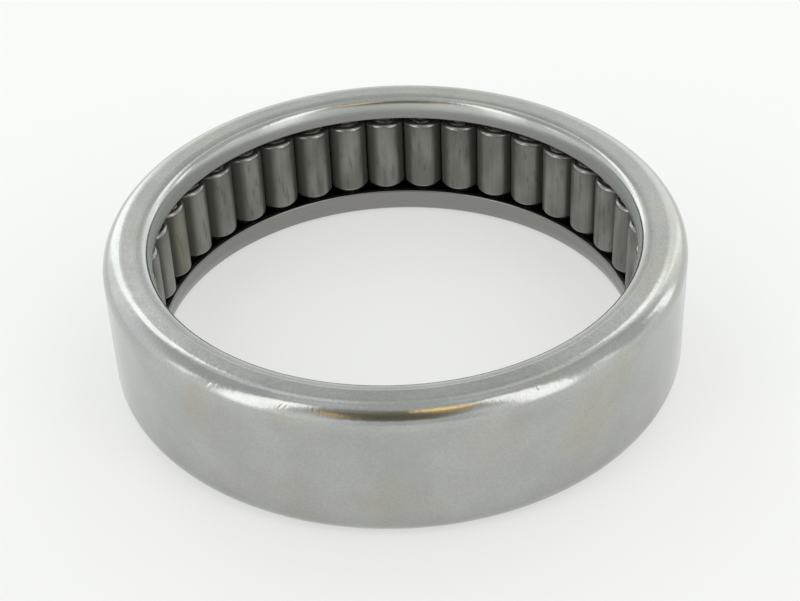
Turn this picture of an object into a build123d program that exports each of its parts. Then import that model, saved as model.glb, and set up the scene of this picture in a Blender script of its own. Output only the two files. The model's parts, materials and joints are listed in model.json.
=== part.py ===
from build123d import *
import os
from math import asin, cos, degrees, floor, radians, sin

# Open-ended drawn-cup needle roller bearing with a full set of rollers and no cage.
# One drawn steel cup is the outer raceway, and its two curled lips hold the rollers by
# their small end pins, so that nothing falls out when the shaft isn't there.
# The axis is +Z, and the origin is the centre of the lower end face. Millimetres.

os.makedirs("parts", exist_ok=True)

# ---- driving dimensions ----
shaft_diameter = 45.5  # circle under the rollers, the shaft's seat
roller_diameter = 4.0
width = 14.0
cup_wall = 0.73  # sheet thickness of the drawn cup
outer_corner = 1.95  # outside radius between the seat and the end face
upper_reach = 2.35  # how far the edge of the lip stands in from the end face, at the top
lower_reach = 2.6  # the same at the bottom, where the lip is a little longer
step_radius = 0.3  # both rounds of the small step in the end face
step_tilt = 20.0  # steepest slope of the step
lean_start = 3.0  # slope of the end face just inside the step
lean_radius = 3.5  # from there the face leans in more and more, first slowly
lean_end = 8.0
turn_radius = 1.3  # then faster
turn_end = 22.0
curl_radius = 0.7  # then the tight curl
curl_end = 72.0
cone_radius = 4.6  # then the nearly straight slope of the lip
cone_end = 84.0
mouth_radius = 0.4  # and at last it turns upright, along the shaft
inner_curl = 0.28  # size of the bevel inside the curl
inner_step = 0.14  # the inside of the curled part lies this much lower
shoulder_round = 0.42  # edge of the roller's body
pin_round = 0.35  # edge of the roller's end pin

# ---- clearances and fits ----
race_play = 0.02  # roller to raceway, radial
roller_play = 0.03  # least gap between neighbouring rollers
lip_shaft_gap = 0.22  # lip bore to shaft, radial
lip_shoulder_gap = 0.63  # lip edge to the shoulder of the roller's body
lip_pin_gap = 0.1  # back of the lip to the roller's end pin, radial
end_play = 0.10  # tip of the end pin to the inside of the end face
grease_gap = 0.06  # grease to cup and rollers

# ---- how the loose set of rollers lies ----
first_angle = 91.4  # direction of the first roller, from +X
crowded_angle = 90.0  # direction in which the rollers lie closest together
crowding = 0.6  # 0 spreads the free play evenly, 1 closes the gaps on the crowded side

# ---- worked out from the above ----
shaft_radius = shaft_diameter / 2
roller_radius = roller_diameter / 2
pitch_radius = shaft_radius + roller_radius
race_radius = pitch_radius + roller_radius + race_play
outer_radius = race_radius + cup_wall
lip_bore_radius = shaft_radius + lip_shaft_gap
lip_back_radius = lip_bore_radius + cup_wall
body_low = lower_reach + lip_shoulder_gap
body_high = width - upper_reach - lip_shoulder_gap
pin_radius = pitch_radius - lip_back_radius - lip_pin_gap
roller_length = width - 2 * (cup_wall + inner_step + end_play)
inner_corner = outer_corner - cup_wall
flange_radius = outer_radius - outer_corner  # where the outer corner meets the end face
curl_inside = width - inner_step - cup_wall  # inside face of the curled part

close_pitch = degrees(2 * asin((roller_radius + roller_play / 2) / pitch_radius))
roller_count = floor(360 / close_pitch)
spare_pitch = 360 / roller_count - close_pitch

# ---- drawn cup: raceway, end faces and both lips in one piece of sheet ----
half_width = width / 2
lip_round = cup_wall / 2
corner = sin(radians(45))  # share of a radius that reaches the middle of a quarter arc

# the curled outside as a chain of arcs, each with its radius and its slope at both ends
curl_chain = [
    (step_radius, 0, step_tilt),
    (-step_radius, step_tilt, lean_start),
    (lean_radius, lean_start, lean_end),
    (turn_radius, lean_end, turn_end),
    (curl_radius, turn_end, curl_end),
    (cone_radius, curl_end, cone_end),
    (mouth_radius, cone_end, 90),
]
chain_run = sum(radius * (sin(radians(end)) - sin(radians(start))) for radius, start, end in curl_chain)
chain_start_radius = lip_bore_radius + chain_run  # the flat of the end face ends here

# both halves are drawn as the upper one, and then the lower one is turned over
halves = []
for reach in (upper_reach, lower_reach):
    lip_edge = width - reach
    with BuildPart() as half:
        with BuildSketch(Plane.XZ):
            # outside first, from the seat round to the lip's edge
            with BuildLine():
                Line((race_radius, half_width), (outer_radius, half_width))
                Line((outer_radius, half_width), (outer_radius, width - outer_corner))
                ThreePointArc(
                    (outer_radius, width - outer_corner),
                    (flange_radius + outer_corner * corner, width - outer_corner * (1 - corner)),
                    (flange_radius, width),
                )
                outside = Line((flange_radius, width), (chain_start_radius, width))
                for radius, start, end in curl_chain:
                    outside = JernArc(outside @ 1, outside % 1, abs(radius), end - start)
                Line(outside @ 1, (lip_bore_radius, lip_edge + lip_round))
                ThreePointArc(
                    (lip_bore_radius, lip_edge + lip_round),
                    (lip_bore_radius + lip_round, lip_edge),
                    (lip_back_radius, lip_edge + lip_round),
                )
                # then the inside, from the back of the lip to the raceway
                Polyline(
                    (lip_back_radius, lip_edge + lip_round),
                    (lip_back_radius, curl_inside - inner_curl),
                    (lip_back_radius + inner_curl, curl_inside),
                    (chain_start_radius, curl_inside),
                    (chain_start_radius + inner_step, width - cup_wall),
                    (flange_radius, width - cup_wall),
                )
                ThreePointArc(
                    (flange_radius, width - cup_wall),
                    (
                        flange_radius + inner_corner * corner,
                        width - cup_wall - inner_corner * (1 - corner),
                    ),
                    (race_radius, width - outer_corner),
                )
                Line((race_radius, width - outer_corner), (race_radius, half_width))
            make_face()
        revolve(axis=Axis.Z)
    halves.append(half.part)

upper_half, lower_half = halves
with BuildPart() as cup:
    add(upper_half)
    add(mirror(lower_half, about=Plane.XY.offset(half_width)))

cup.part.label = "drawn_cup"
export_step(cup.part, "parts/drawn_cup.step")

# ---- one needle roller, standing on its own axis ----
with BuildPart() as roller:
    with Locations((0, 0, (body_low + body_high) / 2)):
        Cylinder(roller_radius, body_high - body_low)
    shoulders = roller.edges().filter_by(GeomType.CIRCLE)
    fillet(shoulders, min(shoulder_round, 0.45 * (roller_radius - pin_radius)))
    with Locations((0, 0, half_width)):
        Cylinder(pin_radius, roller_length)
    pin_tips = roller.edges().filter_by(GeomType.CIRCLE).sort_by(Axis.Z)
    fillet([pin_tips[0], pin_tips[-1]], min(pin_round, 0.6 * pin_radius))

# ---- the full set, crowded towards one side as loose rollers lie ----
angle = first_angle
for number in range(1, roller_count + 1):
    place = Location(
        (pitch_radius * cos(radians(angle)), pitch_radius * sin(radians(angle)), 0), (0, 0, angle)
    )
    needle = roller.part.moved(place)
    needle.label = f"needle_roller_{number:02d}"
    export_step(needle, f"parts/needle_roller_{number:02d}.step")
    share = 1 - crowding * cos(radians(angle - crowded_angle))
    angle += close_pitch + spare_pitch * share

# ---- grease packed in the corner behind the end pins, one band at each end ----
grease_outer_radius = race_radius - grease_gap
grease_inner_radius = pitch_radius + pin_radius + grease_gap
grease_height = upper_reach + lip_shoulder_gap - grease_gap - outer_corner
with BuildPart() as grease:
    with BuildSketch(Plane.XY.offset(outer_corner)):
        Circle(grease_outer_radius)
        Circle(grease_inner_radius, mode=Mode.SUBTRACT)
    extrude(amount=grease_height)
    mirror(about=Plane.XY.offset(half_width))

grease.part.label = "grease_bands"
export_step(grease.part, "parts/grease_bands.step")

print(f"outer diameter {2 * outer_radius:.3f}, lip bore {2 * lip_bore_radius:.3f}")
print(f"{roller_count} rollers, pitch circle {2 * pitch_radius:.3f}, body {body_high - body_low:.3f}")
print(f"end pin {2 * pin_radius:.3f}, length over pins {roller_length:.3f}")
print(f"spin per turn of the set {race_radius / roller_radius:.4f}")
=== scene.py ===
import json
import random
from math import atan2, cos, degrees, pi, radians, sin, sqrt

import bmesh
import bpy
from mathutils import Matrix, Vector, noise


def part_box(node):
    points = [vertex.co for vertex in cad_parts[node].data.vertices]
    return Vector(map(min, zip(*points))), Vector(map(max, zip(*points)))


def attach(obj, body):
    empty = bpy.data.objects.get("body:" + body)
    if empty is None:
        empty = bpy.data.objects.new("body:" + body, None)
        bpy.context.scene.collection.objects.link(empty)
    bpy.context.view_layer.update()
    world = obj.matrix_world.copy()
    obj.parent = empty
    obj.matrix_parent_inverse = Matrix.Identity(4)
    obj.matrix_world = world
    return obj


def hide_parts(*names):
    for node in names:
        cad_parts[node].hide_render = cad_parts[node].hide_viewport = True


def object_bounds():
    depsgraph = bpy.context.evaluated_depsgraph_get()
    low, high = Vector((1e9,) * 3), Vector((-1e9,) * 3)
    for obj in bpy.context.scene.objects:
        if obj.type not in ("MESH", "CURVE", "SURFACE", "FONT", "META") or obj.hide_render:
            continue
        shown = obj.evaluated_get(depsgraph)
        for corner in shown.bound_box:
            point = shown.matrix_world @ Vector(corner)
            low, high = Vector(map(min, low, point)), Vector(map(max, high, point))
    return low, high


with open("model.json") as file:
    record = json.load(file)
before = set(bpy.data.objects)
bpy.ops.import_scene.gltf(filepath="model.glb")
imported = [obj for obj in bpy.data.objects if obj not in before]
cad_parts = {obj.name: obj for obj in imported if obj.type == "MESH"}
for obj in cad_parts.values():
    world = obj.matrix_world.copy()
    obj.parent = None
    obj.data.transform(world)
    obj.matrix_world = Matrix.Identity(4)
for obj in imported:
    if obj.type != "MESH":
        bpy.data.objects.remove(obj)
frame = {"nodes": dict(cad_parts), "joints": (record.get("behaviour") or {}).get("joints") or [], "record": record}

# Drawn-cup needle roller bearing. Lengths in the dictionaries are millimetres.

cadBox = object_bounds()
mm = 0.001
print("frame loaded,", len(frame["nodes"]), "nodes")


def linear(hexColour):
    channels = [int(hexColour[i:i + 2], 16) / 255 for i in (1, 3, 5)]
    return [c / 12.92 if c <= 0.04045 else ((c + 0.055) / 1.055) ** 2.4 for c in channels] + [1.0]


def addNode(tree, kind, inputs=None, **settings):
    # a socket that it is given is linked, anything else is set
    node = tree.nodes.new("ShaderNode" + kind)
    for name, value in settings.items():
        setattr(node, name, value)
    for socket, value in (inputs or {}).items():
        if isinstance(value, bpy.types.NodeSocket):
            tree.links.new(value, node.inputs[socket])
        else:
            node.inputs[socket].default_value = value
    return node.outputs


def newMaterial(name):
    material = bpy.data.materials.new(name)
    material.use_nodes = True
    material.node_tree.nodes.clear()
    return material, material.node_tree


def arc(centreR, centreZ, radius, start, stop, steps):
    points = []
    for i in range(steps + 1):
        turn = radians(start + (stop - start) * i / steps)
        points.append((centreR + radius * cos(turn), centreZ + radius * sin(turn)))
    return points


def divided(points, longest):
    # extra points on the long straights, so that dents and waviness have something to move
    out = []
    for (r0, z0), (r1, z1) in zip(points, points[1:]):
        count = max(1, round(sqrt((r1 - r0) ** 2 + (z1 - z0) ** 2) / longest))
        out += [(r0 + (r1 - r0) * i / count, z0 + (z1 - z0) * i / count) for i in range(count)]
    return out + [points[-1]]


def looped(vertices, count):
    # faces of a closed ring of closed loops, each with this many points
    faces = []
    rounds = len(vertices) // count
    for i in range(rounds):
        here, there = i * count, (i + 1) % rounds * count
        for k in range(count):
            n = (k + 1) % count
            faces.append((here + k, there + k, there + n, here + n))
    return faces


def makeObject(name, vertices, faces, material):
    mesh = bpy.data.meshes.new(name)
    mesh.from_pydata(vertices, [], faces)
    mesh.validate()
    work = bmesh.new()
    work.from_mesh(mesh)
    bmesh.ops.recalc_face_normals(work, faces=work.faces)
    work.to_mesh(mesh)
    work.free()
    mesh.shade_smooth()
    mesh.materials.append(material)
    piece = bpy.data.objects.new(name, mesh)
    bpy.context.scene.collection.objects.link(piece)
    return piece


view = {
    "lens": 79.2,
    "sensor": 36,
    "clip": (0.005, 20),  # metres
    "distance": 169.75,
    "elevation": 36.817,
    "roll": -2.454,
    "aim": (0.338, -1.558),  # sideways and upwards, off the middle of the ring
}


def placeCamera():
    middle = Vector((0, 0, (cadBox[0][2] + cadBox[1][2]) / 2))
    tilt, roll = radians(view["elevation"]), radians(view["roll"])
    forward = Vector((0, cos(tilt), -sin(tilt)))
    flatUp = Vector((0, sin(tilt), cos(tilt)))
    across = cos(roll) * Vector((1, 0, 0)) + sin(roll) * flatUp
    upward = -sin(roll) * Vector((1, 0, 0)) + cos(roll) * flatUp
    place = middle + mm * (view["aim"][0] * across + view["aim"][1] * upward - view["distance"] * forward)
    data = bpy.data.cameras.new("camera")
    data.lens, data.sensor_width = view["lens"], view["sensor"]
    data.clip_start, data.clip_end = view["clip"]
    camera = bpy.data.objects.new("camera", data)
    camera.matrix_world = Matrix.Translation(place) @ Matrix(
        (across, upward, -forward)).transposed().to_4x4()
    bpy.context.scene.collection.objects.link(camera)
    bpy.context.scene.camera = camera


placeCamera()
bpy.context.scene.view_settings.view_transform = "Standard"
print("camera placed")

# The light tent's fabric, as soft ovals in the sky, in degrees. at: turn from the camera's side,
# growing to its right, and height. half: half width and height. blur: share that is soft edge.
tent = {
    "wall": "#FCFFFE",
    "behind": "#F4F6F5",  # what the camera sees of it past the table's edge
    "wallLevel": 1.04,
    "roofLevel": 0.66,
    "roofStarts": (14, 48),
    "folds": [
        {"at": (-128, 14), "half": (24, 24), "blur": 1.0, "level": 1.12},
        {"at": (96, 36), "half": (22, 22), "blur": 0.9, "level": 0.74},
        {"at": (-105, 76), "half": (40, 8), "blur": 0.9, "level": 0.84},
        {"at": (105, 76), "half": (36, 8), "blur": 0.9, "level": 0.84},
        {"at": (-168, 35), "half": (9, 7), "blur": 1.0, "level": 0.88},
        {"at": (168, 35), "half": (9, 7), "blur": 1.0, "level": 0.94},
        {"at": (-176, 44), "half": (7, 6), "blur": 1.0, "level": 0.60},
        {"at": (176, 44), "half": (7, 6), "blur": 1.0, "level": 0.60},
        {"at": (-158, 60), "half": (16, 10), "blur": 0.9, "level": 1.05},
        {"at": (154, 60), "half": (16, 10), "blur": 0.9, "level": 0.95},
        {"at": (-148, 14), "half": (24, 26), "blur": 0.8, "level": 1.30},
        {"at": (146, 20), "half": (21, 26), "blur": 0.8, "level": 1.38},
        {"at": (6, 6), "half": (24, 20), "blur": 1.0, "level": 0.72},
    ],
}


def makeWorld():
    world = bpy.data.worlds.new("white tent")
    world.use_nodes = True
    tree = world.node_tree
    tree.nodes.clear()
    place = addNode(tree, "TexCoord")["Generated"]
    x, y, z = addNode(tree, "SeparateXYZ", {0: place})
    towards = addNode(tree, "Math", {0: y, 1: -1.0}, operation="MULTIPLY")[0]  # the camera's side is -Y
    turn = addNode(tree, "Math", {0: x, 1: towards}, operation="ARCTAN2")[0]
    turn = addNode(tree, "Math", {0: turn, 1: degrees(1)}, operation="MULTIPLY")[0]
    height = addNode(tree, "Math", {0: z}, operation="ARCSINE")[0]
    height = addNode(tree, "Math", {0: height, 1: degrees(1)}, operation="MULTIPLY")[0]
    sky = addNode(tree, "CombineXYZ", {0: turn, 1: height})[0]
    low, high = tent["roofStarts"]
    level = addNode(tree, "MapRange", {0: height, 1: low, 2: high, 3: tent["wallLevel"],
                    4: tent["roofLevel"]}, interpolation_type="SMOOTHSTEP")[0]
    for fold in tent["folds"]:
        spot = addNode(tree, "VectorMath", {0: sky, 1: (*fold["at"], 0)}, operation="SUBTRACT")[0]
        spot = addNode(tree, "VectorMath", {0: spot, 1: (*fold["half"], 1)}, operation="DIVIDE")[0]
        reach = addNode(tree, "VectorMath", {0: spot}, operation="LENGTH")["Value"]
        blur = fold["blur"] / 2
        share = addNode(tree, "MapRange", {0: reach, 1: 1 - blur, 2: 1 + blur, 3: 1.0, 4: 0.0},
                        interpolation_type="SMOOTHSTEP")[0]
        level = addNode(tree, "Mix", {0: share, 2: level, 3: fold["level"]})[0]
    colour = addNode(tree, "VectorMath", {0: linear(tent["wall"])[:3], "Scale": level},
                     operation="SCALE")[0]
    light = addNode(tree, "Background", {"Color": colour})[0]
    plain = addNode(tree, "Background", {"Color": linear(tent["behind"])})[0]
    seen = addNode(tree, "LightPath")["Is Camera Ray"]
    both = addNode(tree, "MixShader", {0: seen, 1: light, 2: plain})[0]
    addNode(tree, "OutputWorld", {"Surface": both})
    bpy.context.scene.world = world


makeWorld()

# Lamps behind the fabric. Each one stands upright and faces the ring: turn in degrees from the
# camera's side, distance and height from the ring's foot, half sizes, lean of the oval in degrees
# and the share of it that is soft edge.
panels = {
    "lampLeft": {"turn": -57, "away": 337, "up": 415, "half": (77, 430), "lean": 1.5, "soft": 0.45,
                 "colour": "#FFFFFF", "level": 2.08},
    "lampRight": {"turn": 52.5, "away": 377, "up": 455, "half": (92, 480), "lean": -1.5, "soft": 0.45,
                  "colour": "#FFFFFF", "level": 2.04},
    "lampBackLeft": {"turn": -147.5, "away": 400, "up": 178, "half": (84, 176), "lean": 0, "soft": 0.6,
                     "colour": "#FAFFFE", "level": 2.02},
    "bandBackLeft": {"turn": -153, "away": 410, "up": 388, "half": (110, 85), "lean": -10, "soft": 0.6,
                     "colour": "#FAFFFE", "level": 2.3},
    "lampBackRight": {"turn": 136, "away": 400, "up": 180, "half": (36, 185), "lean": 0, "soft": 0.7,
                      "colour": "#FAFFFE", "level": 1.75},
    "bandBackRight": {"turn": 152, "away": 410, "up": 392, "half": (108, 80), "lean": 10, "soft": 0.7,
                      "colour": "#FAFFFE", "level": 2.15},
    "gapRight": {"turn": 111, "away": 400, "up": 112, "half": (42, 150), "lean": 0, "soft": 0.7,
                 "colour": "#FCFFFE", "level": 2.05},
    "gapFrontRight": {"turn": 79, "away": 380, "up": 180, "half": (40, 95), "lean": 0, "soft": 0.8,
                      "colour": "#FCFFFE", "level": 1.3},
    "gapFrontLeft": {"turn": -84, "away": 370, "up": 190, "half": (46, 85), "lean": 0, "soft": 0.9,
                     "colour": "#FCFFFE", "level": 1.6},
}

# The tent's dark opening at the camera's side, with brass tripod parts. at: middle, from the
# ring's foot. Each one is tipped to face the ring.
opening = {
    "rim": {"at": (-8, -160, 154), "half": (104, 108), "soft": 0.6, "colour": "#C2B8A6", "level": 0.76},
    "inside": {"at": (-19, -148, 158), "half": (64, 92), "soft": 0.8, "colour": "#B0AA98", "level": 0.50},
    "lens": {"at": (3, -160, 114), "half": (54, 58), "soft": 0.9, "colour": "#B0AA98", "level": 0.42},
    "hood": {"at": (-46, -96, 192), "half": (48, 34), "soft": 0.9, "colour": "#C9C8B8", "level": 0.64},
    "brassEdge": {"at": (-68, -144, 124), "half": (15, 42), "soft": 0.8, "colour": "#E2BE88", "level": 1.2},
    "brassShade": {"at": (46, -130, 150), "half": (28, 52), "soft": 0.9, "colour": "#DDB98C", "level": 0.95},
    "brass": {"at": (31, -92, 158), "half": (27, 25), "soft": 0.7, "colour": "#FFDFA0", "level": 1.8},
}


def makePanel(name, place, across, upward, spec):
    material, tree = newMaterial(name + " light")
    flat = addNode(tree, "TexCoord")["Object"]
    wide, high = spec["half"]
    spot = addNode(tree, "VectorMath", {0: flat, 1: (wide * mm, high * mm, 1)}, operation="DIVIDE")[0]
    square = addNode(tree, "VectorMath", {0: spot, 1: spot}, operation="MULTIPLY")[0]
    reach = addNode(tree, "VectorMath", {0: square}, operation="LENGTH")["Value"]
    share = addNode(tree, "MapRange", {0: reach, 1: 1 - spec["soft"], 2: 1.0, 3: 1.0, 4: 0.0},
                    interpolation_type="SMOOTHSTEP")[0]
    clear = addNode(tree, "BsdfTransparent")[0]
    glow = addNode(tree, "Emission", {"Color": linear(spec["colour"]), "Strength": spec["level"]})[0]
    both = addNode(tree, "MixShader", {0: share, 1: clear, 2: glow})[0]
    addNode(tree, "OutputMaterial", {"Surface": both})
    corners = [(-wide * mm, -high * mm, 0), (wide * mm, -high * mm, 0), (wide * mm, high * mm, 0),
               (-wide * mm, high * mm, 0)]
    panel = makeObject(name, corners, [(0, 1, 2, 3)], material)
    outward = across.cross(upward)
    turned = Matrix((across, upward, outward)).transposed().to_4x4()
    panel.matrix_world = Matrix.Translation(place * mm) @ turned
    panel.visible_camera = False


def makeLights():
    for name, spec in panels.items():
        turn = radians(spec["turn"])
        towards = Vector((sin(turn), -cos(turn), 0))
        place = spec["away"] * towards + Vector((0, 0, spec["up"]))
        across = towards.cross(Vector((0, 0, 1)))
        lean = Matrix.Rotation(radians(spec["lean"]), 3, towards)
        makePanel(name, place, lean @ across, lean @ Vector((0, 0, 1)), spec)
    for name, spec in opening.items():
        place = Vector(spec["at"])
        across = Vector((1, 0, 0))
        makePanel(name, place, across, place.normalized().cross(across), spec)


makeLights()

floor = {  # opal acrylic table, lit from below
    "size": 3000,
    "colour": "#B4B5B5",
    "glowColour": "#FEFFFD",
    "glow": 0.51,
    "below": 0.01,  # the bearing stands this much clear of it
}


def makeFloor():
    material, tree = newMaterial("opal acrylic table")
    skin = addNode(tree, "BsdfDiffuse", {"Color": linear(floor["colour"])})[0]
    glow = addNode(tree, "Emission", {"Color": linear(floor["glowColour"]), "Strength": floor["glow"]})[0]
    lit = addNode(tree, "AddShader", {0: skin, 1: glow})[0]
    addNode(tree, "OutputMaterial", {"Surface": lit})
    half, z = floor["size"] * mm / 2, cadBox[0][2] - floor["below"] * mm
    corners = [(-half, -half, z), (half, -half, z), (half, half, z), (-half, half, z)]
    makeObject("floor", corners, [(0, 1, 2, 3)], material)


makeFloor()
print("light and floor made")

# Low carbon strip steel, deep drawn, case hardened and tumbled with stones: it mirrors softly,
# a fine pebbled grain breaks up the edges of its lights, and faint temper colours cloud the wall.
# In the mouth, where no stone gets, it keeps the darker satin grey of hardening.
cupSteel = {
    "colour": "#B6B7B4",
    "dark": "#AFB0AD",
    "tempers": {"blue": "#8E98AE", "straw": "#B2A56A", "brown": "#B08A78"},  # faint oxide tints
    "clouds": {  # the offset takes each one from another part of the noise, the fade sharpens it
        "tone": {"size": 5, "detail": 4, "offset": 0, "fade": (0.32, 0.68), "levels": (0, 1)},
        "blue": {"size": 7, "detail": 2, "offset": 3.1, "fade": (0.52, 0.68), "levels": (0, 0.12)},
        "straw": {"size": 9, "detail": 2, "offset": 8.4, "fade": (0.52, 0.68), "levels": (0, 0.10)},
        "brown": {"size": 6, "detail": 2, "offset": 14.2, "fade": (0.52, 0.68), "levels": (0, 0.05)},
        "specks": {"size": 0.22, "detail": 2, "offset": 9.3, "fade": (0.25, 0.75), "levels": (0.955, 1.045)},
        "lapPatches": {"size": 6, "detail": 1, "offset": 21.7, "fade": (0.50, 0.62), "levels": (0, 0.022)},
        "lapWobble": {"size": 3, "detail": 1, "offset": 0},
        "roughness": {"size": 1.6, "detail": 3, "offset": 5.5},
        "grain": {"size": 0.16, "detail": 1, "offset": 0},  # twice as coarse as the real grain
        "pebble": {"size": 0.8, "detail": 1, "offset": 2.2},
    },
    "roughness": (0.11, 0.20),
    "grainHeight": 0.004,
    "pebbleHeight": 0.010,
    "lapSize": 0.42,  # spacing of the faint slanting polishing marks
    "lapWobble": 0.5,  # how far they stray from a straight line
    "lapAround": (-2.42, 0.25, 0.75),  # they lie round this turn, in radians, and fade between these
    "seatTone": 0.955,  # the seat is darker than the end faces by this much
    "foot": (4.0, 0.93),  # and darker again below this height, as painted shade towards the floor
    "mouthColour": "#949390",
    "mouthRoughness": 0.30,
    "mouth": (24.1, 24.5),  # the satin begins between these radii
    "mouthTop": (12.6, 13.3),  # at the top, it fades in down the slope of the lip
    "slopeColour": "#C4CAC5",  # where the sheet was bent most, its skin is dull and scatters the light
    "slope": [  # each of these scales its share: between two heights, from how much to how much
        (12.4, 12.6, 0.0, 1.0),
        (12.5, 13.5, 0.36, 0.50),
        (13.375, 13.625, 1.0, 0.0),
    ],
    "channelColour": "#1C1B16",  # old grease coats the channel in which the rollers run
    "channelRoughness": 0.6,
    "channelEnds": (0.6, 0.65),  # it begins this far in from the lower and the upper end face
    "channelBack": 0.7,  # and after this share of the lip's thickness
    "channelSkin": 0.1,  # and stops this far into the sheet, short of the outer corner
    "channelSoft": (0.05, 0.04),  # half the width of its soft edges, the second towards the corner
}


def makeCupSteel():
    material, tree = newMaterial("deep drawn and tumbled bearing steel")
    spec = cupSteel
    place = addNode(tree, "TexCoord")["Object"]
    x, y, z = addNode(tree, "SeparateXYZ", {0: place})
    flat = addNode(tree, "CombineXYZ", {0: x, 1: y})[0]
    radius = addNode(tree, "VectorMath", {0: flat}, operation="LENGTH")["Value"]
    clouds = {}
    for name, cloud in spec["clouds"].items():
        moved = addNode(tree, "VectorMath", {0: place, 1: (cloud["offset"], 0, 0)}, operation="ADD")[0]
        clouds[name] = addNode(tree, "TexNoise", {"Vector": moved, "Scale": 1 / (cloud["size"] * mm),
                               "Detail": cloud["detail"]})["Fac"]
        if "fade" in cloud:
            (low, high), (first, last) = cloud["fade"], cloud["levels"]
            clouds[name] = addNode(tree, "MapRange", {0: clouds[name], 1: low, 2: high, 3: first, 4: last},
                                   interpolation_type="SMOOTHSTEP")[0]

    # clouded tone of the steel, with its temper tints
    tone = addNode(tree, "Mix", {0: clouds["tone"], 6: linear(spec["dark"]), 7: linear(spec["colour"])},
                   data_type="RGBA")[2]
    for name, colour in spec["tempers"].items():
        tone = addNode(tree, "Mix", {0: clouds[name], 6: tone, 7: linear(colour)}, data_type="RGBA")[2]

    # slanting marks of the polishing belt on the seat, which come and go
    turn = addNode(tree, "Math", {0: y, 1: x}, operation="ARCTAN2")[0]
    slant = addNode(tree, "Math", {0: turn, 1: outerRadius * mm, 2: z}, operation="MULTIPLY_ADD")[0]
    slant = addNode(tree, "Math", {0: clouds["lapWobble"], 1: spec["lapWobble"] * mm, 2: slant},
                    operation="MULTIPLY_ADD")[0]
    wave = addNode(tree, "Math", {0: slant, 1: 2 * pi / (spec["lapSize"] * mm)}, operation="MULTIPLY")[0]
    wave = addNode(tree, "Math", {0: wave}, operation="SINE")[0]
    edge = (width - cup["outerCorner"]) * mm
    seat = addNode(tree, "MapRange", {0: z, 1: edge - mm / 2, 2: edge + mm / 2, 3: 1.0, 4: 0.0},
                   interpolation_type="SMOOTHSTEP")[0]
    middle, near, far = spec["lapAround"]
    apart = addNode(tree, "Math", {0: turn, 1: middle}, operation="SUBTRACT")[0]
    apart = addNode(tree, "Math", {0: apart}, operation="ABSOLUTE")[0]
    around = addNode(tree, "MapRange", {0: apart, 1: near, 2: far, 3: 1.0, 4: 0.0},
                     interpolation_type="SMOOTHSTEP")[0]
    marks = addNode(tree, "Math", {0: clouds["lapPatches"], 1: seat}, operation="MULTIPLY")[0]
    marks = addNode(tree, "Math", {0: marks, 1: around}, operation="MULTIPLY")[0]
    level = addNode(tree, "Math", {0: wave, 1: marks, 2: 1.0}, operation="MULTIPLY_ADD")[0]

    # specks, the seat's tone and the painted shade on the foot, towards the floor
    seatTone = addNode(tree, "Mix", {0: seat, 2: 1.0, 3: spec["seatTone"]})[0]
    top, least = spec["foot"]
    foot = addNode(tree, "MapRange", {0: z, 1: 0.0, 2: top * mm, 3: least, 4: 1.0},
                   interpolation_type="SMOOTHSTEP")[0]
    for share in (clouds["specks"], seatTone, foot):
        level = addNode(tree, "Math", {0: level, 1: share}, operation="MULTIPLY")[0]
    tone = addNode(tree, "VectorMath", {0: tone, "Scale": level}, operation="SCALE")[0]

    # satin in the mouth
    (inner, outer), (low, high) = spec["mouth"], spec["mouthTop"]
    inside = addNode(tree, "MapRange", {0: radius, 1: inner * mm, 2: outer * mm, 3: 1.0, 4: 0.0},
                     interpolation_type="SMOOTHSTEP")[0]
    below = addNode(tree, "MapRange", {0: z, 1: low * mm, 2: high * mm, 3: 1.0, 4: 0.0},
                    interpolation_type="SMOOTHSTEP")[0]
    mouth = addNode(tree, "Math", {0: inside, 1: below}, operation="MULTIPLY")[0]
    tone = addNode(tree, "Mix", {0: mouth, 6: tone, 7: linear(spec["mouthColour"])}, data_type="RGBA")[2]
    least, most = spec["roughness"]
    rough = addNode(tree, "Mix", {0: clouds["roughness"], 2: least, 3: most})[0]
    rough = addNode(tree, "Mix", {0: mouth, 2: rough, 3: spec["mouthRoughness"]})[0]

    # the greased channel behind the lips
    lipBack = shaftRadius + cup["lipGap"] + cup["wall"] * spec["channelBack"]
    raceway = outerRadius - cup["wall"] + spec["channelSkin"]
    lower, upper = spec["channelEnds"][0], width - spec["channelEnds"][1]
    soft, rimSoft = spec["channelSoft"]
    behind = 1.0
    for value, low, high, first, last in (
            (radius, lipBack - soft, lipBack + soft, 0.0, 1.0),
            (radius, raceway - rimSoft, raceway + rimSoft, 1.0, 0.0),
            (z, lower - soft, lower + soft, 0.0, 1.0),
            (z, upper - soft, upper + soft, 1.0, 0.0)):
        share = addNode(tree, "MapRange", {0: value, 1: low * mm, 2: high * mm, 3: first, 4: last},
                        interpolation_type="SMOOTHSTEP")[0]
        behind = addNode(tree, "Math", {0: behind, 1: share}, operation="MULTIPLY")[0]
    tone = addNode(tree, "Mix", {0: behind, 6: tone, 7: linear(spec["channelColour"])},
                   data_type="RGBA")[2]
    rough = addNode(tree, "Mix", {0: behind, 2: rough, 3: spec["channelRoughness"]})[0]

    height = addNode(tree, "Math", {0: clouds["grain"], 1: spec["grainHeight"] * mm},
                     operation="MULTIPLY")[0]
    height = addNode(tree, "Math", {0: clouds["pebble"], 1: spec["pebbleHeight"] * mm, 2: height},
                     operation="MULTIPLY_ADD")[0]
    bump = addNode(tree, "Bump", {"Strength": 1.0, "Distance": 1.0, "Height": height})[0]
    skin = addNode(tree, "BsdfPrincipled", {"Base Color": tone, "Metallic": 1.0, "Roughness": rough,
                   "Normal": bump})[0]

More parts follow.
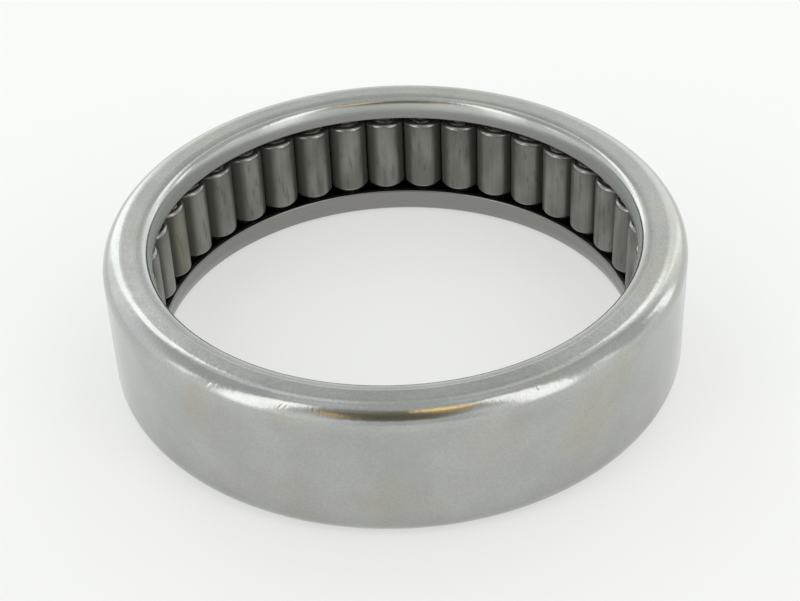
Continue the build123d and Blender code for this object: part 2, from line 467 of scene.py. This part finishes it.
    # the dull slope of the upper lip
    slope = inside
    for low, high, first, last in spec["slope"]:
        share = addNode(tree, "MapRange", {0: z, 1: low * mm, 2: high * mm, 3: first, 4: last},
                        interpolation_type="SMOOTHSTEP")[0]
        slope = addNode(tree, "Math", {0: slope, 1: share}, operation="MULTIPLY")[0]
    dull = addNode(tree, "BsdfDiffuse", {"Color": linear(spec["slopeColour"])})[0]
    skin = addNode(tree, "MixShader", {0: slope, 1: skin, 2: dull})[0]
    addNode(tree, "OutputMaterial", {"Surface": skin})
    return material


# Through hardened bearing steel, ground lengthwise: a rough dull mirror, darkened by a film of old
# grease in long streaks, with brighter rolled-over shoulders, and painted shade on the flanks between the rollers.
rollerSteel = {
    "colour": "#8C8C86",
    "film": "#454641",
    "roughness": 0.37,
    "streaks": [  # of the film: width and length, detail, where the fade begins and ends, strength
        {"wide": 2.2, "long": 6.0, "detail": 1, "fade": (0.35, 0.65), "share": 0.45},
        {"wide": 0.5, "long": 2.2, "detail": 3, "fade": (0.53, 0.67), "share": 0.42},
        {"wide": 0.22, "long": 5.0, "detail": 2, "fade": (0.2, 0.8), "share": 0.26},
    ],
    "apart": 0.4,  # metres between the places in the noise from which the rollers take their streaks
    "olive": "#6E6440",
    "oliveRoller": 8,  # one of them has kept a yellowish film
    "oliveShare": 0.3,
    "shoulderColour": "#90908B",
    "shoulderRoughness": 0.26,
    "shoulderFade": (-0.396, -0.276),  # from the ends of the body, outwards
    "pinFade": (0.05, 0.11),  # likewise; the pins are darkened towards the film's colour
    "pinShare": 0.8,
    "haze": 0.07,  # the film scatters a little light of its own
    "hazeColour": "#BFC0BA",
    "flanks": (0.46, 0.88),  # painted shade: the flanks that turn away from the bore, towards the neighbouring rollers, are darkened by this much
    "flankColour": "#565650",
    "drag": 0.2,  # the painted shade leans towards one flank
}


def makeRollerSteel():
    material, tree = newMaterial("ground needle roller steel under a grease film")
    spec = rollerSteel
    place = addNode(tree, "TexCoord")["Object"]
    info = addNode(tree, "ObjectInfo")
    apart = addNode(tree, "Math", {0: info["Random"], 1: spec["apart"]}, operation="MULTIPLY")[0]
    moved = addNode(tree, "VectorMath", {0: place, 1: apart}, operation="ADD")[0]

    film = linear(spec["film"])
    tone = linear(spec["colour"])
    for streak in spec["streaks"]:
        scale = (1 / (streak["wide"] * mm), 1 / (streak["wide"] * mm), 1 / (streak["long"] * mm))
        drawn = addNode(tree, "VectorMath", {0: moved, 1: scale}, operation="MULTIPLY")[0]
        drawn = addNode(tree, "TexNoise", {"Vector": drawn, "Scale": 1.0,
                        "Detail": streak["detail"]})["Fac"]
        low, high = streak["fade"]
        share = addNode(tree, "MapRange", {0: drawn, 1: low, 2: high, 3: 0.0, 4: streak["share"]},
                        interpolation_type="SMOOTHSTEP")[0]
        tone = addNode(tree, "Mix", {0: share, 6: tone, 7: film}, data_type="RGBA")[2]
    tinted = addNode(tree, "Math", {0: info["Object Index"], 1: spec["oliveRoller"], 2: 0.5},
                     operation="COMPARE")[0]
    tinted = addNode(tree, "Math", {0: tinted, 1: spec["oliveShare"]}, operation="MULTIPLY")[0]
    tone = addNode(tree, "Mix", {0: tinted, 6: tone, 7: linear(spec["olive"])}, data_type="RGBA")[2]

    # shoulders and pins, by how far they lie from the middle of the body
    bodyHalf = (roller["high"] - roller["low"]) / 2
    z = addNode(tree, "SeparateXYZ", {0: place})[2]
    away = addNode(tree, "Math", {0: z, 1: (roller["low"] + bodyHalf) * mm}, operation="SUBTRACT")[0]
    away = addNode(tree, "Math", {0: away}, operation="ABSOLUTE")[0]
    low, high = ((bodyHalf + past) * mm for past in spec["shoulderFade"])
    shoulder = addNode(tree, "MapRange", {0: away, 1: low, 2: high, 3: 0.0, 4: 1.0},
                       interpolation_type="SMOOTHSTEP")[0]
    tone = addNode(tree, "Mix", {0: shoulder, 6: tone, 7: linear(spec["shoulderColour"])},
                   data_type="RGBA")[2]
    low, high = ((bodyHalf + past) * mm for past in spec["pinFade"])
    pin = addNode(tree, "MapRange", {0: away, 1: low, 2: high, 3: 0.0, 4: spec["pinShare"]},
                  interpolation_type="SMOOTHSTEP")[0]
    tone = addNode(tree, "Mix", {0: pin, 6: tone, 7: film}, data_type="RGBA")[2]
    rough = addNode(tree, "Mix", {0: shoulder, 2: spec["roughness"], 3: spec["shoulderRoughness"]})[0]
    skin = addNode(tree, "BsdfPrincipled", {"Base Color": tone, "Metallic": 1.0, "Roughness": rough})[0]
    haze = addNode(tree, "BsdfDiffuse", {"Color": linear(spec["hazeColour"])})[0]
    skin = addNode(tree, "MixShader", {0: spec["haze"], 1: skin, 2: haze})[0]

    # painted shade on the flanks: how far the surface turns away from the bore, whichever way the roller has
    # rolled
    here = addNode(tree, "NewGeometry")
    outwards = addNode(tree, "VectorMath", {0: here["Position"], 1: (1, 1, 0)}, operation="MULTIPLY")[0]
    outwards = addNode(tree, "VectorMath", {0: outwards}, operation="NORMALIZE")[0]
    facing = addNode(tree, "VectorMath", {0: outwards, 1: here["Normal"]},
                     operation="DOT_PRODUCT")["Value"]
    sideways = addNode(tree, "VectorMath", {0: outwards, 1: (0, 0, -1)}, operation="CROSS_PRODUCT")[0]
    sideways = addNode(tree, "VectorMath", {0: sideways, 1: here["Normal"]},
                       operation="DOT_PRODUCT")["Value"]
    facing = addNode(tree, "Math", {0: sideways, 1: spec["drag"], 2: facing},
                     operation="MULTIPLY_ADD")[0]
    low, high = spec["flanks"]
    flankShade = addNode(tree, "MapRange", {0: facing, 1: -high, 2: -low, 3: 0.0, 4: 1.0},
                    interpolation_type="SMOOTHSTEP")[0]
    body = addNode(tree, "Math", {0: 1.0, 1: shoulder}, operation="SUBTRACT")[0]
    flankShade = addNode(tree, "Math", {0: flankShade, 1: body}, operation="MULTIPLY")[0]
    # a dark diffuse surface mixed onto the flanks as painted shade
    dark = addNode(tree, "BsdfDiffuse", {"Color": linear(spec["flankColour"])})[0]
    skin = addNode(tree, "MixShader", {0: flankShade, 1: skin, 2: dark})[0]
    addNode(tree, "OutputMaterial", {"Surface": skin})
    return material


# Bearing grease after some service: dark, translucent and wet, with small bright glints, and drier
# and nearly black where it lies deep; all of the lower band is painted nearly black as shade.
grease = {
    "colour": "#6A6B62",
    "deep": "#33332C",
    # the bank's own colour, also painted on the lower band as shade
    "bankColour": "#17160F",
    "cloudSize": 0.7,
    "cloudFade": (0.35, 0.65),
    "roughness": 0.16,
    "bankRoughness": 0.55,
    "coatRoughness": 0.04,
    "refraction": 1.47,
    "ripple": (0.18, 0.012),  # size and height
    "gap": 0.015,  # to the pins and the rollers' ends
    "around": 28,
    "collarRings": 7,
    "collarHeight": 0.16,  # how high it stands round the end pins, and how much that wanders
    "heightWander": 0.7,
    "heightNoise": 0.9,  # how fine its noise is
    "collarReach": 1.35,  # how far it spreads over the roller's end, and how much that wanders
    "reachWander": 0.12,
    "reachNoise": 1.7,  # times as fine as the one for the height
    "lumps": 0.48,
    "lumpNoise": 3,
    "footRise": 0.8,  # its underside is lifted off the roller by this share of the gap
    "beads": 30,  # larger beads at each end
    "beadSize": (0.10, 0.2),
    "beadLift": 0.16,
    "beadSteps": (6, 10),  # upwards and around
    "beadSquash": (0.55, 0.4),  # height by width, and how much that wanders
    "beadWander": 0.3,
    "beadNoise": 1.6,
    "beadAway": 1.35,  # from the pin to its middle, in sizes of the bead
    "drops": 44,  # small wet drops that stand on the upper roller ends towards the bore
    "dropSize": (0.06, 0.13),
    "dropLift": 0.17,
    "dropTurn": 0.9,  # radians to both sides of the way to the bore
    "dropReach": 0.3,
    "bankAround": 720,
    "bankInner": 25.72,  # the bank that fills the corner behind the pins
    "bankOuter": 26.70,
    "bankDepth": 1.1,
    "bankSag": (0.12, 0.10),  # clear height over the roller's end, and how much that wanders
    "bankWander": 0.10,  # of its inner side
    "bankNoise": (18, 26),  # how fine the noise of the face and of the inner side is
    "bankTilt": 0.05,  # its face lies this much deeper towards the bore
    "bankBevels": ((0.2, 0.25), (0.15, 0.1)),  # at the inner and the outer side: across and down
    "bankFade": (-0.25, 0.05),  # its dry skin fades in between these, from its inner side outwards
}


def makeGrease():
    material, tree = newMaterial("used bearing grease")
    place = addNode(tree, "TexCoord")["Object"]
    cloud = addNode(tree, "TexNoise", {"Vector": place, "Scale": 1 / (grease["cloudSize"] * mm),
                    "Detail": 3})["Fac"]
    low, high = grease["cloudFade"]
    share = addNode(tree, "MapRange", {0: cloud, 1: low, 2: high, 3: 0.0, 4: 1.0},
                    interpolation_type="SMOOTHSTEP")[0]
    tone = addNode(tree, "Mix", {0: share, 6: linear(grease["deep"]), 7: linear(grease["colour"])},
                   data_type="RGBA")[2]
    x, y, z = addNode(tree, "SeparateXYZ", {0: place})
    flat = addNode(tree, "CombineXYZ", {0: x, 1: y})[0]
    radius = addNode(tree, "VectorMath", {0: flat}, operation="LENGTH")["Value"]
    low, high = ((grease["bankInner"] + past) * mm for past in grease["bankFade"])
    dry = addNode(tree, "MapRange", {0: radius, 1: low, 2: high, 3: 0.0, 4: 1.0},
                  interpolation_type="SMOOTHSTEP")[0]
    rough = addNode(tree, "Mix", {0: dry, 2: grease["roughness"], 3: grease["bankRoughness"]})[0]
    wet = addNode(tree, "Math", {0: 1.0, 1: dry}, operation="SUBTRACT")[0]
    middle = width / 2 * mm  # painted shade: all of the lower band lies in the dark and takes the bank's nearly black colour
    below = addNode(tree, "MapRange", {0: z, 1: middle - mm / 2, 2: middle + mm / 2, 3: 1.0, 4: 0.0},
                    interpolation_type="SMOOTHSTEP")[0]
    # the bank's dry skin, and the painted shade of the lower band
    dark = addNode(tree, "Math", {0: dry, 1: below}, operation="MAXIMUM")[0]
    tone = addNode(tree, "Mix", {0: dark, 6: tone, 7: linear(grease["bankColour"])}, data_type="RGBA")[2]
    size, height = grease["ripple"]
    ripple = addNode(tree, "TexNoise", {"Vector": place, "Scale": 1 / (size * mm), "Detail": 1})["Fac"]
    ripple = addNode(tree, "Math", {0: ripple, 1: height * mm}, operation="MULTIPLY")[0]
    bump = addNode(tree, "Bump", {"Strength": 1.0, "Distance": 1.0, "Height": ripple})[0]
    skin = addNode(tree, "BsdfPrincipled", {"Base Color": tone, "IOR": grease["refraction"],
                   "Roughness": rough, "Specular IOR Level": 1.0, "Coat Weight": wet,
                   "Coat Roughness": grease["coatRoughness"], "Normal": bump})[0]
    addNode(tree, "OutputMaterial", {"Surface": skin})
    return material


cup = {
    "wall": 0.73,
    "outerCorner": 1.95,
    # the curled part, as arcs with their radius and the slope where each one ends: first a small
    # step down, then the end face leans in more and more and turns into the lip
    "curl": [(0.3, 20), (-0.3, 3), (3.5, 8), (1.3, 22), (0.7, 66), (5.5, 76), (0.4, 90)],
    "lipGap": 0.125,  # lip bore to shaft
    "upperReach": 2.29,  # the lips' edges, in from the end faces
    "upperRound": 0.365,
    "lowerReach": 2.72,
    "lowerRound": 0.16,
    "innerStep": 0.14,
    "innerBevel": 0.28,
    "steps": {"corner": 30, "curl": 10, "edge": 8, "inside": 12},  # sides of each arc
    "spacing": {"seat": 0.5, "face": 0.09, "lip": 0.1, "raceway": 1.0},  # of points on the straights
    "around": 1080,
    "nickWindow": 1.6,  # degrees on both sides of a nick, where the mesh is finer
    "nickAround": 0.06,  # degrees between its points there
    "waves": 0.010,  # unevenness of the drawn sheet, always inwards
    "waveSize": 6.0,
    "skin": 0.02,  # what lies this close to the outside belongs to it
}

mounts = {mount["name"]: mount for mount in frame["record"]["mounts"]}
shaftRadius = mounts["shaft_seat"]["dims"]["r_mm"]
cupLow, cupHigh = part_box("drawn_cup")
outerRadius = (cupHigh[0] - cupLow[0]) / 2 / mm
width = (cupHigh[2] - cupLow[2]) / mm

# Knocks on the corner: turn in degrees, height above the lower face, half sizes along and across
# the corner, lean of the mark in degrees, and depth.
nicks = [
    {"turn": 233.6, "z": 13.30, "half": (0.34, 0.16), "lean": 35, "depth": 0.014},
    {"turn": 234.9, "z": 13.45, "half": (0.16, 0.12), "lean": 0, "depth": 0.009},
    {"turn": 248.3, "z": 13.42, "half": (0.10, 0.42), "lean": -52, "depth": 0.008},
    {"turn": 249.4, "z": 13.48, "half": (0.08, 0.36), "lean": -52, "depth": 0.005},
    {"turn": 254.4, "z": 13.55, "half": (0.24, 0.14), "lean": 10, "depth": 0.009},
    {"turn": 255.6, "z": 13.40, "half": (0.14, 0.10), "lean": 40, "depth": 0.007},
    {"turn": 295.3, "z": 13.50, "half": (0.22, 0.15), "lean": -20, "depth": 0.018},
    {"turn": 296.2, "z": 13.62, "half": (0.10, 0.12), "lean": 30, "depth": 0.011},
    {"turn": 279.0, "z": 12.10, "half": (0.07, 0.07), "lean": 0, "depth": 0.02},
    {"turn": 131.5, "z": 13.30, "half": (0.20, 0.12), "lean": 25, "depth": 0.012},
    {"turn": 352.0, "z": 13.45, "half": (0.16, 0.22), "lean": 0, "depth": 0.012},
    {"turn": 20.5, "z": 12.80, "half": (0.30, 0.10), "lean": 15, "depth": 0.012},
]


def cupHalf(reach, edge):
    # half of the section, drawn as the upper one: from the wall over the end face round the lip
    wall, corner = cup["wall"], cup["outerCorner"]
    steps, spacing = cup["steps"], cup["spacing"]
    flange, lipBore = outerRadius - corner, shaftRadius + cup["lipGap"]
    lipEdge = width - reach
    path = divided([(outerRadius, width / 2), (outerRadius, width - corner)], spacing["seat"])[:-1]
    path += arc(flange, width - corner, corner, 0, 90, steps["corner"])[:-1]
    slopes = [0] + [ending for radius, ending in cup["curl"]]
    run = sum(radius * (sin(radians(ending)) - sin(radians(slope)))
              for (radius, ending), slope in zip(cup["curl"], slopes))
    path += divided([(flange, width), (lipBore + run, width)], spacing["face"])
    for (radius, ending), slope in zip(cup["curl"], slopes):
        r, z = path.pop()
        centre = (r + radius * sin(radians(slope)), z - radius * cos(radians(slope)))
        path += arc(*centre, radius, 90 + slope, 90 + ending, steps["curl"])
    path += divided([path.pop(), (lipBore, lipEdge + edge)], spacing["lip"])[:-1]
    path += arc(lipBore + edge, lipEdge + edge, edge, 180, 270, steps["edge"])
    # where both rounds of the edge meet, their common point is left out once
    path += arc(lipBore + wall - edge, lipEdge + edge, edge, 270, 360, steps["edge"])[wall == 2 * edge:]
    step, bevel = cup["innerStep"], cup["innerBevel"]
    inside = width - wall - step
    path += [(lipBore + wall, inside - bevel), (lipBore + wall + bevel, inside),
             (lipBore + run, inside), (lipBore + run + step, width - wall)]
    path += arc(flange, width - corner, corner - wall, 90, 0, steps["inside"])
    raceway = [(outerRadius - wall, width - corner), (outerRadius - wall, width / 2)]
    return path + divided(raceway, spacing["raceway"])[1:]


def cupAngles():
    steps = [360 * i / cup["around"] for i in range(cup["around"])]
    for nick in nicks:
        first, last = nick["turn"] - cup["nickWindow"], nick["turn"] + cup["nickWindow"]
        steps = [a for a in steps if not first <= a <= last]
        count = round((last - first) / cup["nickAround"])
        steps += [first + (last - first) * i / count for i in range(count + 1)]
    return sorted(set(steps))


def nickDepth(angle, z):
    depth = 0.0
    for nick in nicks:
        along = radians(angle - nick["turn"]) * outerRadius
        across = z - nick["z"]
        lean = radians(nick["lean"])
        u = (along * cos(lean) + across * sin(lean)) / nick["half"][0]
        v = (across * cos(lean) - along * sin(lean)) / nick["half"][1]
        reach = u * u + v * v
        if reach < 1:
            depth += nick["depth"] * (1 - reach) ** 2
    return depth


def makeCup(material):
    upper = cupHalf(cup["upperReach"], cup["upperRound"])
    lower = [(r, width - z) for r, z in reversed(cupHalf(cup["lowerReach"], cup["lowerRound"]))][1:-1]
    loop = upper + lower
    vertices = []
    for angle in cupAngles():
        across, along = cos(radians(angle)), sin(radians(angle))
        for r, z in loop:
            # the outside only ever moves inwards, so that the seat keeps its size
            spot = Vector((r * across, r * along, z)) / cup["waveSize"]
            sink = cup["waves"] * (0.5 + 0.5 * noise.noise(spot))
            if r > outerRadius - cup["wall"] + cup["skin"]:
                sink += nickDepth(angle, z)
            inwards = sink if r > outerRadius - cup["outerCorner"] else 0.0
            downwards = sink * (1 if z > width / 2 else -1) if r <= outerRadius - cup["skin"] else 0.0
            r, z = r - inwards, z - downwards
            vertices.append((r * across * mm, r * along * mm, z * mm))
    piece = makeObject("cup_shell", vertices, looped(vertices, len(loop)), material)
    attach(piece, "cup")
    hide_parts("drawn_cup")


makeCup(makeCupSteel())
print("drawn cup made")

roller = {
    "shoulder": 0.42,
    "pin": 0.95,
    "pinRound": 0.35,
    "pinFoot": 0.06,  # bevel where the pin meets the shoulder
    "low": 3.23,  # ends of the roller's body, up from the bearing's lower face
    "high": 11.02,
    "around": 72,
    "steps": {"shoulder": 8, "pin": 6},  # sides of each arc
    "spacing": 1.0,  # of points on the body's straight
}
axes = {joint["child"]: joint["pos_m"] for joint in frame["joints"]}
rollerNames = sorted(node for node in frame["nodes"] if node.startswith("needle_roller_"))
pinLow, pinHigh = (corner[2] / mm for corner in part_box(rollerNames[0]))


def turnedBody(section, around):
    # vertices and faces of a closed turned body, from its lower tip to its upper one
    vertices = [(0, 0, section[0][1] * mm)]
    for r, z in section:
        for i in range(around):
            angle = 2 * pi * i / around
            vertices.append((r * cos(angle) * mm, r * sin(angle) * mm, z * mm))
    vertices.append((0, 0, section[-1][1] * mm))
    last, top = len(vertices) - 1, 1 + (len(section) - 1) * around
    faces = []
    for i in range(around):
        j = (i + 1) % around
        faces.append((0, 1 + j, 1 + i))
        faces.append((last, top + i, top + j))
        for k in range(len(section) - 1):
            a, b = 1 + k * around, 1 + (k + 1) * around
            faces.append((a + i, a + j, b + j, b + i))
    return vertices, faces


def makeRollers(material):
    radius = Vector(axes["needle_01"][:2]).length / mm - shaftRadius
    pin, soft, blunt, foot = (roller[part] for part in ("pin", "shoulder", "pinRound", "pinFoot"))
    low, high, steps = roller["low"], roller["high"], roller["steps"]
    section = arc(pin - blunt, pinLow + blunt, blunt, -90, 0, steps["pin"])
    section += [(pin, low - foot), (pin + foot, low)]
    section += arc(radius - soft, low + soft, soft, -90, 0, steps["shoulder"])
    section += divided([section.pop(), (radius, high - soft)], roller["spacing"])[:-1]
    section += arc(radius - soft, high - soft, soft, 0, 90, steps["shoulder"])
    section += [(pin + foot, high), (pin, high + foot)]
    section += arc(pin - blunt, pinHigh - blunt, blunt, 0, 90, steps["pin"])
    vertices, faces = turnedBody(section, roller["around"])
    for name in rollerNames:
        number = name[-2:]
        piece = makeObject("needle_" + number + "_steel", vertices, faces, material)
        piece.location = (*axes["needle_" + number][:2], 0)
        piece.pass_index = int(number)
        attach(piece, "needle_" + number)
        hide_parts(name)


makeRollers(makeRollerSteel())
print("rollers made")


def greaseCollar(x, y, face, side, seed):
    # a lumpy ring of grease round one end pin, on the end face of the roller
    vertices = []
    rings, gap = grease["collarRings"], grease["gap"]
    inner = roller["pin"] + gap
    for i in range(grease["around"]):
        angle = 2 * pi * i / grease["around"]
        spot = Vector((x + cos(angle), y + sin(angle), seed)) * grease["heightNoise"]
        wander = grease["reachWander"] * noise.noise(spot * grease["reachNoise"])
        reach = grease["collarReach"] * (1 + wander)
        tall = grease["collarHeight"] * (1 + grease["heightWander"] * noise.noise(spot))
        for k in range(rings):
            share = k / (rings - 1)
            r = inner + (reach - roller["pin"]) * share
            lump = noise.noise(Vector((r * cos(angle), r * sin(angle), seed)) * grease["lumpNoise"])
            z = gap + max(0.0, tall * cos(share * pi / 2) * (1 + grease["lumps"] * lump))
            vertices.append((x + r * cos(angle), y + r * sin(angle), face + side * z))
        for r in (reach, inner):  # and back underneath
            z = gap * grease["footRise"]
            vertices.append((x + r * cos(angle), y + r * sin(angle), face + side * z))
    return vertices, looped(vertices, rings + 2)


def greaseBead(x, y, z, size, seed):
    # a rounded lump, taller or flatter by chance
    vertices, faces = [], []
    rings, around = grease["beadSteps"]
    flat, wander = grease["beadSquash"]
    squash = flat + wander * noise.noise(Vector((x, y, seed)))
    for k in range(rings + 1):
        rise = pi * (k / rings - 0.5)
        for i in range(around):
            angle = 2 * pi * i / around
            way = Vector((cos(rise) * cos(angle), cos(rise) * sin(angle), sin(rise) * squash))
            spot = way * grease["beadNoise"] + Vector((x, y, seed))
            grow = size * (1 + grease["beadWander"] * noise.noise(spot))
            vertices.append((x + way.x * grow, y + way.y * grow, z + way.z * grow))
    for k in range(rings):
        for i in range(around):
            j = (i + 1) % around
            faces.append((k * around + i, k * around + j, (k + 1) * around + j, (k + 1) * around + i))
    return vertices, faces


def greaseBank(face, side, seed):
    # a ring of grease that fills the corner behind the end pins, with an uneven face
    vertices = []
    inner, outer, depth = grease["bankInner"], grease["bankOuter"], grease["bankDepth"]
    (clear, wander), (faceNoise, innerNoise) = grease["bankSag"], grease["bankNoise"]
    (innerAcross, innerDown), (outerAcross, outerDown) = grease["bankBevels"]
    for i in range(grease["bankAround"]):
        angle = 2 * pi * i / grease["bankAround"]
        spot = Vector((cos(angle), sin(angle), seed))
        sag = clear + wander * noise.noise(spot * faceNoise)
        back = inner + grease["bankWander"] * (1 + noise.noise(spot * innerNoise))
        loop = [(back, depth), (back, sag + innerDown), (back + innerAcross, sag + grease["bankTilt"]),
                (outer - outerAcross, sag), (outer, sag + outerDown), (outer, depth)]
        vertices += [(r * cos(angle), r * sin(angle), face + side * z) for r, z in loop]
    return vertices, looped(vertices, len(loop))


def makeGreaseBands(material):
    vertices, faces = [], []

    def add(part):
        start = len(vertices)
        vertices.extend((x * mm, y * mm, z * mm) for x, y, z in part[0])
        faces.extend(tuple(start + n for n in face) for face in part[1])

    # the last argument of each part takes its shape from another place in the noise
    spots = [axes[name] for name in sorted(axes) if name.startswith("needle_")]
    for number, spot in enumerate(spots):
        x, y = spot[0] / mm, spot[1] / mm
        add(greaseCollar(x, y, roller["high"], 1, number * 1.37))
        add(greaseCollar(x, y, roller["low"], -1, 50 + number * 1.37))
    add(greaseBank(roller["high"], 1, 3.3))
    add(greaseBank(roller["low"], -1, 7.7))
    chance = random.Random(11)
    pinEdge = roller["pin"] + grease["gap"]
    for side, face in ((1, roller["high"]), (-1, roller["low"])):
        for n in range(grease["beads"]):
            spot = spots[chance.randrange(len(spots))]
            x, y = spot[0] / mm, spot[1] / mm
            turn = chance.uniform(0, 2 * pi)
            size = chance.uniform(*grease["beadSize"])
            reach = pinEdge + size * grease["beadAway"]
            add(greaseBead(x + reach * cos(turn), y + reach * sin(turn),
                           face + side * (grease["beadLift"] + size), size, n * 2.3))
    for n in range(grease["drops"]):
        spot = spots[chance.randrange(len(spots))]
        x, y = spot[0] / mm, spot[1] / mm
        turn = atan2(-y, -x) + chance.uniform(-grease["dropTurn"], grease["dropTurn"])
        size = chance.uniform(*grease["dropSize"])
        reach = pinEdge + size * grease["beadAway"] + chance.uniform(0, grease["dropReach"])
        add(greaseBead(x + reach * cos(turn), y + reach * sin(turn),
                       roller["high"] + grease["dropLift"] + size, size, 90 + n * 1.9))
    piece = makeObject("grease_film", vertices, faces, material)
    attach(piece, "roller_set")
    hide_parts("grease_bands")


makeGreaseBands(makeGrease())
print("grease made")
